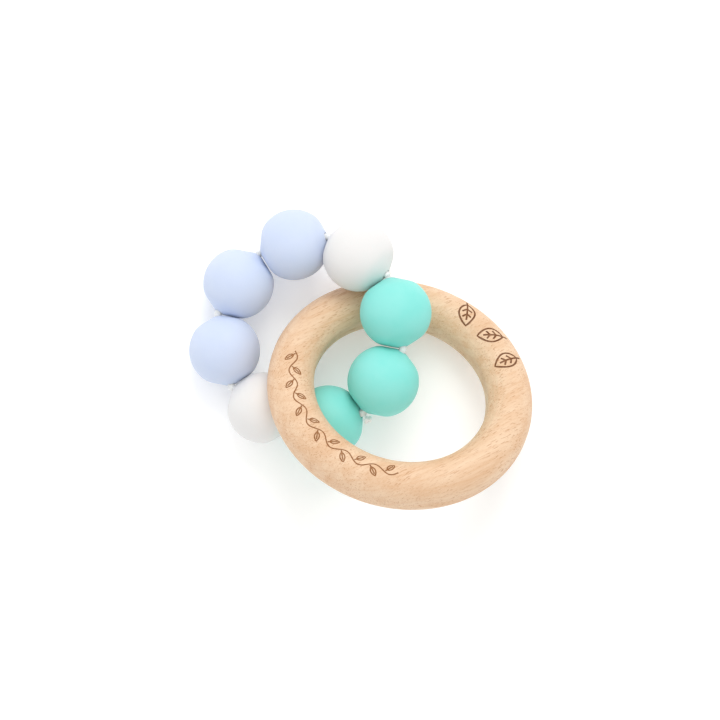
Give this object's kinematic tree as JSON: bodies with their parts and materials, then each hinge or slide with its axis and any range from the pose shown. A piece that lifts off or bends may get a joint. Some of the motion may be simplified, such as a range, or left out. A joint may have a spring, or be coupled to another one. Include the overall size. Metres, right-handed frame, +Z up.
{
  "type": "teething ring",
  "caption": "Turned wooden ring linked through a closed loop of soft round beads strung on a cord, lying on a table.",
  "frame": {"origin": "under the middle of the part, on the table that it lies on", "axes": "+Z up from the table; +X from the lying beads towards the free side of the ring; +Y towards the beads' far end"},
  "size_m": [0.072, 0.0648, 0.0322],
  "materials": {
    "beech": "fine sanded, unvarnished",
    "blue_silicone": "matte silicone",
    "white_silicone": "matte silicone",
    "mint_silicone": "matte silicone",
    "cord": "smooth braided cord"
  },
  "bodies": {
    "ring": {"beech_ring": "beech"},
    "held_run": {"cord_held_run": "cord", "cord_knot": "cord"},
    "lying_run": {"cord_lying_run": "cord"},
    "side_run": {"cord_side_run": "cord"},
    "blue_bead_1": {"blue_bead_1": "blue_silicone"},
    "blue_bead_2": {"blue_bead_2": "blue_silicone"},
    "blue_bead_3": {"blue_bead_3": "blue_silicone"},
    "white_bead_1": {"white_bead_1": "white_silicone"},
    "white_bead_2": {"white_bead_2": "white_silicone"},
    "mint_bead_1": {"mint_bead_1": "mint_silicone"},
    "mint_bead_2": {"mint_bead_2": "mint_silicone"},
    "mint_bead_3": {"mint_bead_3": "mint_silicone"}
  },
  "joints": [
    {"name": "loop_swing", "type": "hinge", "parent": "ring", "child": "held_run", "pos_m": [0.00812, -0.0071, 0.01611], "axis": [0.7815, -0.5673, 0.2597], "range_deg": [0, 90]},
    {"name": "lying_run_fold", "type": "hinge", "parent": "held_run", "child": "lying_run", "pos_m": [-0.02119, 0.02345, 0.0075], "axis": [0.1925, -0.9813, 0], "range_deg": [0, 43]},
    {"name": "side_run_fold", "type": "hinge", "parent": "held_run", "child": "side_run", "pos_m": [0.00558, 0.01731, 0.01741], "axis": [-0.9169, 0.2101, -0.3393], "range_deg": [-12, 5]},
    {"name": "blue_bead_1_spin", "type": "hinge", "parent": "side_run", "child": "blue_bead_1", "pos_m": [-0.01398, 0.02486, 0.0104], "axis": [-0.9127, -0.1791, -0.3672], "continuous": true},
    {"name": "blue_bead_2_spin", "type": "hinge", "parent": "lying_run", "child": "blue_bead_2", "pos_m": [-0.0256, 0.01689, 0.0075], "axis": [-0.5577, -0.83, 0], "continuous": true},
    {"name": "blue_bead_3_spin", "type": "hinge", "parent": "lying_run", "child": "blue_bead_3", "pos_m": [-0.02848, 0.00258, 0.0075], "axis": [0.1925, -0.9813, 0], "continuous": true},
    {"name": "white_bead_1_spin", "type": "hinge", "parent": "side_run", "child": "white_bead_1", "pos_m": [-0.00059, 0.02179, 0.01536], "axis": [-0.7815, 0.5673, -0.2597], "continuous": true},
    {"name": "white_bead_2_spin", "type": "hinge", "parent": "lying_run", "child": "white_bead_2", "pos_m": [-0.0204, -0.00958, 0.0075], "axis": [0.83, -0.5577, 0], "continuous": true},
    {"name": "mint_bead_1_spin", "type": "hinge", "parent": "held_run", "child": "mint_bead_1", "pos_m": [0.0071, 0.00956, 0.01741], "axis": [-0.1925, 0.9813, 0], "continuous": true},
    {"name": "mint_bead_2_spin", "type": "hinge", "parent": "held_run", "child": "mint_bead_2", "pos_m": [0.0046, -0.00468, 0.01536], "axis": [0.5093, 0.8205, 0.2597], "continuous": true},
    {"name": "mint_bead_3_spin", "type": "hinge", "parent": "held_run", "child": "mint_bead_3", "pos_m": [-0.00663, -0.01258, 0.0104], "axis": [0.9127, 0.1791, 0.3672], "continuous": true}
  ]
}
